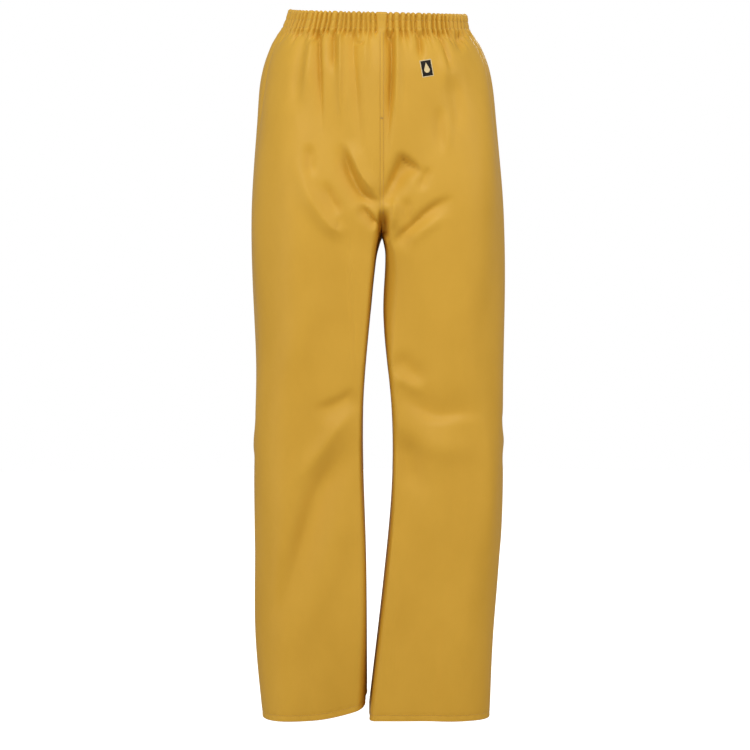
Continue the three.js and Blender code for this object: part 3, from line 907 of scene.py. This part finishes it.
def make_cloth(side):
    """One leg's cloth: the waistband, the upper panel and the lower panel."""
    grid = GRIDS[side]
    band_end = grid["band_rows"]
    split = int(row_of(grid, MID_THIGH))
    band = panel("waistband", side, 0, band_end, 1)
    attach(band, "seat")
    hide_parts(f"waist_casing_{side}")
    upper = panel("upper_leg_panel", side, band_end, split, 1)
    leg_blend(upper, low=False)
    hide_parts(f"seat_panel_{side}", f"hip_cloth_{side}", f"thigh_panel_{side}")
    lower = panel("lower_leg_panel", side, split, len(grid["levels"]) - 1, 2)
    leg_blend(lower, low=True)
    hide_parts(f"knee_cloth_{side}", f"shin_panel_{side}")


for side in SIDES:
    make_cloth(side)


# ------------ centre seam, tapes and inseams

LAP_WIDTH = 6
LAP_HEIGHT = 0.75  # below the waistband, where the lap isn't pressed flat
LAP_PRESSED = 0.3  # its height in the waistband
LAP_ROUNDING = 0.45  # share of the height lost at its edges
LAP_SEWN = 0.22  # how far its stitching presses it in
CENTRE_TAPE_WIDTH = 18
LEG_TAPE_WIDTH = 14
PATCH_WIDTH = 16
INSEAM_WIDTH = 2.2
INSEAM_HEIGHT = 0.32
FILM = 0.4  # thickness of the sealing tape
INSIDE = -(CLOTH + FILM + 0.15)  # the lift of a tape's face on the inside of the cloth
SEAM_STITCHES = 2.1  # each row of the lap's stitching stands this far from its middle
BAR_TACK = -171
HEM_GAP = 0.3  # between the cloth and its turn-up


def across_strip(width, count):
    return np.linspace(-width / 2, width / 2, count)


def rows_between(grid, top, bottom, step):
    """Row numbers from one level down to another, about one step of millimetres apart."""
    first, last = row_of(grid, top), row_of(grid, bottom)
    return np.linspace(first, last, max(2, round((top - bottom) / step) + 1))


def over_seam(front, rows, offsets, lift):
    """Points and normals across the centre seam, for offsets from the wearer's right to their left."""
    found = {}
    for side in SIDES:
        grid = GRIDS[side]
        whole = grid["along"][np.round(rows).astype(int), -1:]
        distance = np.abs(offsets) + 0 * whole if front else whole - np.abs(offsets)
        found[side] = on_cloth(grid, rows[:, None], columns_at(grid, rows, distance), lift)
    is_left = (offsets > 0)[None, :, None]
    return [np.where(is_left, left, right) for left, right in zip(found["left"], found["right"])]


def strip_places(points):
    """Places along and across a strip, in metres."""
    across = np.linalg.norm(np.diff(points[0], axis=0), axis=-1).sum()
    down = np.linalg.norm(np.diff(points[:, 0], axis=0), axis=-1)
    down = np.concatenate([[0], np.cumsum(down)])
    return np.stack(np.meshgrid(np.linspace(0, across, points.shape[1]), -down), axis=-1) * MM


def strip(name, points, normals, thickness, materials, slot):
    piece = sheet_object(name, points, normals, strip_places(points), thickness, materials)
    return piece


def make_centre_seam(end, front):
    grid = GRIDS["left"]
    rows = rows_between(grid, -2, CROTCH, 2.5)
    level = level_of(grid, rows)
    offsets = across_strip(LAP_WIDTH, 13)
    rounding = 1 - LAP_ROUNDING * np.abs(offsets / (LAP_WIDTH / 2)) ** 6
    sewn = LAP_SEWN * np.exp(-((np.abs(offsets) - SEAM_STITCHES) / 0.5) ** 2)
    rising = smoothstep(-level, BAND - 6, BAND + 4)
    height = LAP_PRESSED + (LAP_HEIGHT - LAP_PRESSED) * rising
    points, normals = over_seam(front, rows, offsets, height[:, None] * rounding - sewn)
    lap = strip(f"{end}_lap", points, normals, 0.5, [VINYL], "coated_cloth")
    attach(lap, "seat")
    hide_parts(f"{end}_seam_lap")
    rows = rows_between(grid, -BAND - 1, CROTCH + 12, 4)
    offsets = across_strip(CENTRE_TAPE_WIDTH, 13)
    points, normals = over_seam(front, rows, offsets, INSIDE)
    tape = strip(f"{end}_centre_tape", points, -normals, FILM, [TAPE], "seam_tape")
    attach(tape, "seat")
    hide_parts(f"{end}_seam_tape")


def make_crotch_patch():
    """A patch of tape under the place where the seams cross, from the front's seam to the back's."""
    rows = rows_between(GRIDS["left"], CROTCH + 26, CROTCH + 1, 3)
    offsets = across_strip(PATCH_WIDTH, 9)
    before = over_seam(True, rows, offsets, INSIDE - 0.5)
    behind = over_seam(False, rows[::-1], offsets, INSIDE - 0.5)
    points, normals = (np.concatenate(pair) for pair in zip(before, behind))
    patch = strip("crotch_seal", points, -normals, FILM, [TAPE], "seam_tape")
    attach(patch, "seat")
    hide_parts("crotch_patch")


FROM_INSIDE = profile((-337, 54), (-397, 47), (-560, 36), (-1053, 30))  # how far round the inseam sits


def leg_strip(side, rows, offsets, lift):
    """Points and normals of a strip along a leg's inseam."""
    grid = GRIDS[side]
    from_inside = FROM_INSIDE(level_of(grid, rows))
    columns = columns_at(grid, rows, from_inside[:, None] + offsets[None, :])
    return on_cloth(grid, rows[:, None], columns, lift)


def make_inseam(side):
    """A fine raised line outside and a sealing tape inside, above and below the middle of the thigh."""
    tape_end = HEM + HEM_TURN_UP + 1
    stretches = {
        "upper": (CROTCH - 1, MID_THIGH, [f"hip_seam_tape_{side}", f"thigh_seam_tape_{side}"]),
        "lower": (MID_THIGH, tape_end, [f"knee_seam_tape_{side}", f"shin_seam_tape_{side}"]),
    }
    for part, (top, bottom, stands_for) in stretches.items():
        rows = rows_between(GRIDS[side], top, bottom, 4)
        offsets = across_strip(LEG_TAPE_WIDTH, 9)
        points, normals = leg_strip(side, rows, offsets, INSIDE)
        tape = strip(f"{part}_leg_seam_tape_{side}", points, -normals, FILM, [TAPE], "seam_tape")
        leg_blend(tape, part == "lower")
        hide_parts(*stands_for)
        offsets = across_strip(INSEAM_WIDTH, 7)
        points, normals = leg_strip(side, rows, offsets, INSEAM_HEIGHT)
        edge = strip(f"{part}_inseam_{side}", points, normals, 0.4, [VINYL], "coated_cloth")
        leg_blend(edge, part == "lower")


def make_hem(side):
    """The end of the cloth: rounded under and turned up inside the leg."""
    grid = GRIDS[side]
    rows = rows_between(grid, HEM + HEM_TURN_UP, HEM, 1.6)
    columns = np.arange(0, COLUMNS + 1, 2)
    depth = 2 * CLOTH + HEM_GAP
    inside, normals = on_cloth(grid, rows[:, None], columns, -depth)
    under = []
    for angle in np.linspace(0, math.pi, 6)[1:]:
        out = depth / 2 * (1 - math.cos(angle))
        under.append(inside[-1] + normals[-1] * out - np.array([0, 0, depth / 2 * math.sin(angle)]))
    points = np.concatenate([inside, np.array(under)])
    points[:, -1] = points[:, 0]
    closed = np.ones(len(points), bool)
    facing = grid_normals(side, points, closed)
    facing = facing * -np.sign((facing[0] * normals[0]).sum())
    turned = sheet_object(
        f"hem_fold_{side}", points, facing, strip_places(points), CLOTH * 0.9, [VINYL, KNIT], closed
    )
    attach(turned, f"shin_{side}")
    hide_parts(f"hem_turn_up_{side}")


# ------------ stitching

STITCH = 2.7
STITCH_PITCH = 3.4
STITCH_RADIUS = 0.27
# how far along the stitch each ring of points is, and its share of the radius
STITCH_RINGS = [(-0.5, 0.35), (-0.42, 0.8), (-0.2, 1), (0.2, 1), (0.42, 0.8), (0.5, 0.35)]


def stitches(name, starts, ends, normals, sides=6):
    """Short rounded threads from starts to ends, which dip into the cloth at both ends."""
    along = ends - starts
    length = np.linalg.norm(along, axis=-1, keepdims=True)
    along = along / length
    aside = np.cross(along, normals)
    aside = aside / np.linalg.norm(aside, axis=-1, keepdims=True)
    up = np.cross(aside, along)
    rings, places = [], []
    for place, thickness in STITCH_RINGS:
        arch = STITCH_RADIUS * (0.75 - 5 * place * place)
        middle = (starts + ends) / 2 + along * length * place + up * arch
        for k in range(sides):
            angle = 2 * math.pi * k / sides
            radius = STITCH_RADIUS * thickness
            rings.append(middle + radius * (aside * math.cos(angle) + up * math.sin(angle)))
            places.append((place * STITCH * MM, k / sides * MM))
    points = np.stack(rings, axis=1)
    faces = []
    for ring in range(len(STITCH_RINGS) - 1):
        for k in range(sides):
            here, there = ring * sides, (ring + 1) * sides
            faces.append((here + k, there + k, there + (k + 1) % sides, here + (k + 1) % sides))
    last = (len(STITCH_RINGS) - 1) * sides
    faces += [(0, 1, 2, 3), (0, 3, 4, 5)]
    faces += [(last + 3, last + 2, last + 1, last), (last + 5, last + 4, last + 3, last)]
    faces = np.array(faces)[:, ::-1]
    every = (faces[None] + np.arange(len(points))[:, None, None] * points.shape[1]).reshape(-1, 4)
    uv = np.array(places)[faces]
    piece = mesh_object(name, points.reshape(-1, 3), every, np.tile(uv, (len(points), 1, 1)), [THREAD])
    return piece


def starts_along(length, first=0.0):
    return np.arange(first, length - STITCH, STITCH_PITCH)


def stitches_round(side, level):
    """Starts, ends and normals of one row of stitches round a half of the waist or round a leg."""
    grid = GRIDS[side]
    row = row_of(grid, level)
    start = starts_along(grid["along"][int(row), -1], 1.0)
    reach = [start, start + STITCH / 2, start + STITCH]
    first, middle, last = columns_at(grid, np.full(3, int(row)), reach)
    starts, _ = on_cloth(grid, row, first)
    ends, _ = on_cloth(grid, row, last)
    return starts, ends, on_cloth(grid, row, middle)[1]


def make_waist_stitching():
    for name, level in zip(("upper", "middle", "lower"), STITCH_ROWS):
        halves = [stitches_round(side, level) for side in SIDES]
        piece = stitches(f"waist_stitches_{name}", *(np.concatenate(parts) for parts in zip(*halves)))
        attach(piece, "seat")
        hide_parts(f"waist_stitching_{name}")


def make_seam_stitching(end, front):
    """Two rows down the lap, and a short bar tack across it on the front."""
    grid = GRIDS["left"]
    top, bottom = -BAND - 4, CROTCH + 24
    levels = top - starts_along(top - bottom)

    def on_lap(levels, offset, lift):
        points, normals = over_seam(front, row_of(grid, levels), np.array([offset]), lift)
        return points[:, 0], normals[:, 0]

    parts = []
    for offset in (-SEAM_STITCHES, SEAM_STITCHES):
        starts, normals = on_lap(levels, offset, LAP_HEIGHT - 0.1)
        ends, _ = on_lap(levels - STITCH, offset, LAP_HEIGHT - 0.1)
        parts.append((starts, ends, normals))
    if front:
        tack = BAR_TACK - 0.55 * np.arange(5)
        starts, _ = on_lap(tack, -SEAM_STITCHES, LAP_HEIGHT)
        ends, _ = on_lap(tack, SEAM_STITCHES, LAP_HEIGHT)
        parts.append((starts, ends, on_lap(tack, 0.1, 0)[1]))
    piece = stitches(f"{end}_lap_stitches", *(np.concatenate(part) for part in zip(*parts)))
    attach(piece, "seat")
    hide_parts(f"{end}_seam_stitching")


def make_hem_stitching(side):
    piece = stitches(f"hem_stitches_{side}", *stitches_round(side, HEM + HEM_STITCH))
    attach(piece, f"shin_{side}")
    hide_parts(f"hem_stitching_{side}")


# ------------ elastic, badge and label

ELASTIC_WIDTH = 26
ELASTIC_THICKNESS = 0.9
ELASTIC_DEPTH = GATHER_DEPTH + CLOTH + 0.35


def make_elastic():
    """One band round the waist, inside the folded cloth."""
    middle = -(BAND + 1) / 2
    levels = np.linspace(middle + ELASTIC_WIDTH / 2, middle - ELASTIC_WIDTH / 2, 8)
    halves = []
    for side in SIDES:
        base = even_columns(side, levels)[0][:, ::4]
        normals = grid_normals(side, base)
        halves.append((hang_askew(base - normals * ELASTIC_DEPTH), normals))
    (left, left_normals), (right, right_normals) = halves
    points = np.concatenate([left, right[:, -2::-1]], axis=1)
    normals = np.concatenate([left_normals, right_normals[:, -2::-1]], axis=1)
    closed = np.ones(len(levels), bool)
    band = sheet_object(
        "elastic_band", points, normals, strip_places(points), ELASTIC_THICKNESS, [ELASTIC], closed
    )
    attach(band, "seat")
    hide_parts("waist_elastic")


BADGE_CENTRE = (71, -100)  # towards the wearer's left, level
BADGE_SIZE = (15.2, 23.2)
BADGE_BORDER = 1.0
BORDER_RINGS = ((-0.25, 0.42), (0.2, 0.6), (BADGE_BORDER - 0.3, 0.6), (BADGE_BORDER, 0.35))  # out, lift
BADGE_TILT = math.radians(10)
DROP_RADIUS = 4.1
DROP_POINT = 11.2  # from the middle of the drop's round end to its tip
DROP_BELOW = 2.6  # from the badge's centre to the middle of the round end
DROP_RINGS = ((0.01, 0.85), (0.5, 0.85), (0.9, 0.75), (1.0, 0.5))  # share of the outline, lift


def on_badge(across, up, lift):
    """Points on the badge, which lies on the wearer's left leg: across and up from its centre."""
    grid = GRIDS["left"]
    x = BADGE_CENTRE[0] + across * math.cos(BADGE_TILT) - up * math.sin(BADGE_TILT)
    z = BADGE_CENTRE[1] + across * math.sin(BADGE_TILT) + up * math.cos(BADGE_TILT)
    front = grid["points"][:, : COLUMNS // 3]
    first = grid["band_rows"]
    middle = np.abs(front[row_of(grid, BADGE_CENTRE[1]).astype(int), :, 0] - BADGE_CENTRE[0]).argmin()
    rows = first + np.interp(-z, -front[first:, middle, 2], np.arange(len(front) - first))
    near = front[np.round(rows).astype(int)]
    lines = near.reshape(-1, *near.shape[-2:])
    column = np.arange(front.shape[1])
    pick = np.stack([np.interp(target, line[:, 0], column) for target, line in zip(x.ravel(), lines)])
    return on_cloth(grid, rows, pick.reshape(x.shape), lift)


def make_badge():
    width, height = BADGE_SIZE
    across = across_strip(width, 15)
    up = np.linspace(height / 2, -height / 2, 19)
    across, up = np.meshgrid(across, up)
    field = strip("badge_film", *on_badge(across, up, 0.4), 0.35, [DARK_FILM], "badge_dark")
    angle = np.linspace(0, 2 * math.pi, 81)
    square = 1 / np.maximum(np.abs(np.cos(angle)), np.abs(np.sin(angle)))
    rings = []
    for growth, lift in BORDER_RINGS:
        frame_x = (width / 2 + growth) * square * np.cos(angle)
        frame_z = (height / 2 + growth) * square * np.sin(angle)
        rings.append(on_badge(frame_x, frame_z, lift))
    border = ring_object("badge_frame", rings)
    shoulder = math.acos(DROP_RADIUS / DROP_POINT)
    from_top = np.abs((angle - math.pi / 2 + math.pi) % (2 * math.pi) - math.pi)
    outline = DROP_RADIUS / np.cos(np.maximum(shoulder - from_top, 0))
    rings = []
    for share, lift in DROP_RINGS:
        radius = outline * share
        rings.append(on_badge(radius * np.cos(angle), radius * np.sin(angle) - DROP_BELOW, lift))
    drop = ring_object("badge_mark", rings)
    for piece, stands_for in ((field, "badge_field"), (border, "badge_border"), (drop, "badge_drop")):
        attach(piece, "seat")
        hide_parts(stands_for)


def ring_object(name, rings):
    points, normals = (np.stack(part) for part in zip(*rings))
    closed = np.ones(len(points), bool)
    piece = sheet_object(name, points, normals, strip_places(points), 0.3, [PALE_FILM], closed)
    return piece


LABEL_GAP = 0.9
LABEL_LEAN = 2.2
LABEL_CURL = 1.6


def make_label():
    """Hangs free from the inside of the waistband's back, with a slight curl."""
    low, high = (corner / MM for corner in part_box("care_label"))
    across = np.linspace(low.x, high.x, 13)
    down = np.linspace(high.z, low.z, 21)
    x, z = np.meshgrid(across, down)
    hang = (high.z - z) / (high.z - low.z)
    curl = LABEL_CURL * hang ** 2 * ((x - (low.x + high.x) / 2) / 15) ** 2
    y = BACK(0) - BAND_THICKNESS - LABEL_GAP - LABEL_LEAN * hang ** 2 - curl
    points = np.stack([x, y, z], axis=-1)
    normals = np.broadcast_to([0.0, -1.0, 0.0], points.shape)
    label = strip("label", points, normals, 0.35, [LABEL], "label")
    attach(label, "seat")
    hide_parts("care_label")


for end, front in (("front", True), ("back", False)):
    make_centre_seam(end, front)
    make_seam_stitching(end, front)
for side in SIDES:
    make_inseam(side)
    make_hem(side)
    make_hem_stitching(side)
make_crotch_patch()
make_waist_stitching()
make_elastic()
make_badge()
make_label()


# ------------ floor, light and camera


def put(name, data, place, target):
    """An object at a place, facing a target."""
    made = bpy.data.objects.new(name, data)
    bpy.context.scene.collection.objects.link(made)
    made.location = place
    made.rotation_euler = (Vector(target) - Vector(place)).to_track_quat("-Z", "Y").to_euler()
    return made


def area_light(name, place, target, size, power, colour=(1, 1, 1)):
    light = bpy.data.lights.new(name, "AREA")
    light.shape = "RECTANGLE"
    light.size, light.size_y = size
    light.energy = power
    light.color = colour
    put(name, light, place, target)


def make_floor():
    place = (0, 0, FLOOR * MM)
    bpy.ops.mesh.primitive_circle_add(vertices=96, radius=6, fill_type="NGON", location=place)
    floor = bpy.context.object
    floor.name = "floor"
    material, tree, shader, _ = new_material("floor", (0.47, 0.415, 0.36), 0.9)
    shader.inputs["Emission Color"].default_value = (1, 1, 1, 1)
    path = node(tree, "ShaderNodeLightPath")
    tree.links.new(path.outputs["Is Camera Ray"], shader.inputs["Emission Strength"])
    floor.data.materials.append(material)


def make_world():
    """White behind the object, and a softer white light all round it."""
    world = bpy.data.worlds.new("studio")
    bpy.context.scene.world = world
    world.use_nodes = True
    tree = world.node_tree
    tree.nodes.clear()
    seen = node(tree, "ShaderNodeBackground", Color=(1, 1, 1, 1), Strength=1.0)
    light = node(tree, "ShaderNodeBackground", Color=(1, 1, 1, 1), Strength=AMBIENT)
    path = node(tree, "ShaderNodeLightPath")
    mix = node(tree, "ShaderNodeMixShader")
    output = node(tree, "ShaderNodeOutputWorld")
    tree.links.new(path.outputs["Is Camera Ray"], mix.inputs["Fac"])
    tree.links.new(light.outputs["Background"], mix.inputs[1])
    tree.links.new(seen.outputs["Background"], mix.inputs[2])
    tree.links.new(mix.outputs["Shader"], output.inputs["Surface"])


FLOOR = HEM - 70
AMBIENT = 0.46
WARM = (1.0, 0.75, 0.5)
CAMERA_PLACE = (-0.00375, -3.3, -0.45)
CAMERA_TARGET = (-0.00375, 0, -0.547)
LENS = 105.6
make_floor()
make_world()
area_light("key", (-0.45, -2.6, 1.7), (0, 0, -0.3), (1.0, 0.8), 37.5)
area_light("fill", (0.9, -2.7, -1.0), (0, 0, -0.95), (1.4, 0.8), 5, WARM)
area_light("left", (-2.4, -1.7, -0.3), (0, 0, -0.5), (1.2, 1.6), 11)
area_light("right", (2.2, -1.9, 0.9), (0, 0, -0.25), (0.8, 0.8), 16)
area_light("back", (0.6, 2.8, 1.2), (0, 0, -0.5), (1.4, 1.4), 34)

camera = bpy.data.cameras.new("camera")
camera.sensor_width = 36
camera.lens = LENS
viewer = put("camera", camera, CAMERA_PLACE, CAMERA_TARGET)
bpy.context.scene.camera = viewer
bpy.context.scene.view_settings.view_transform = "Standard"
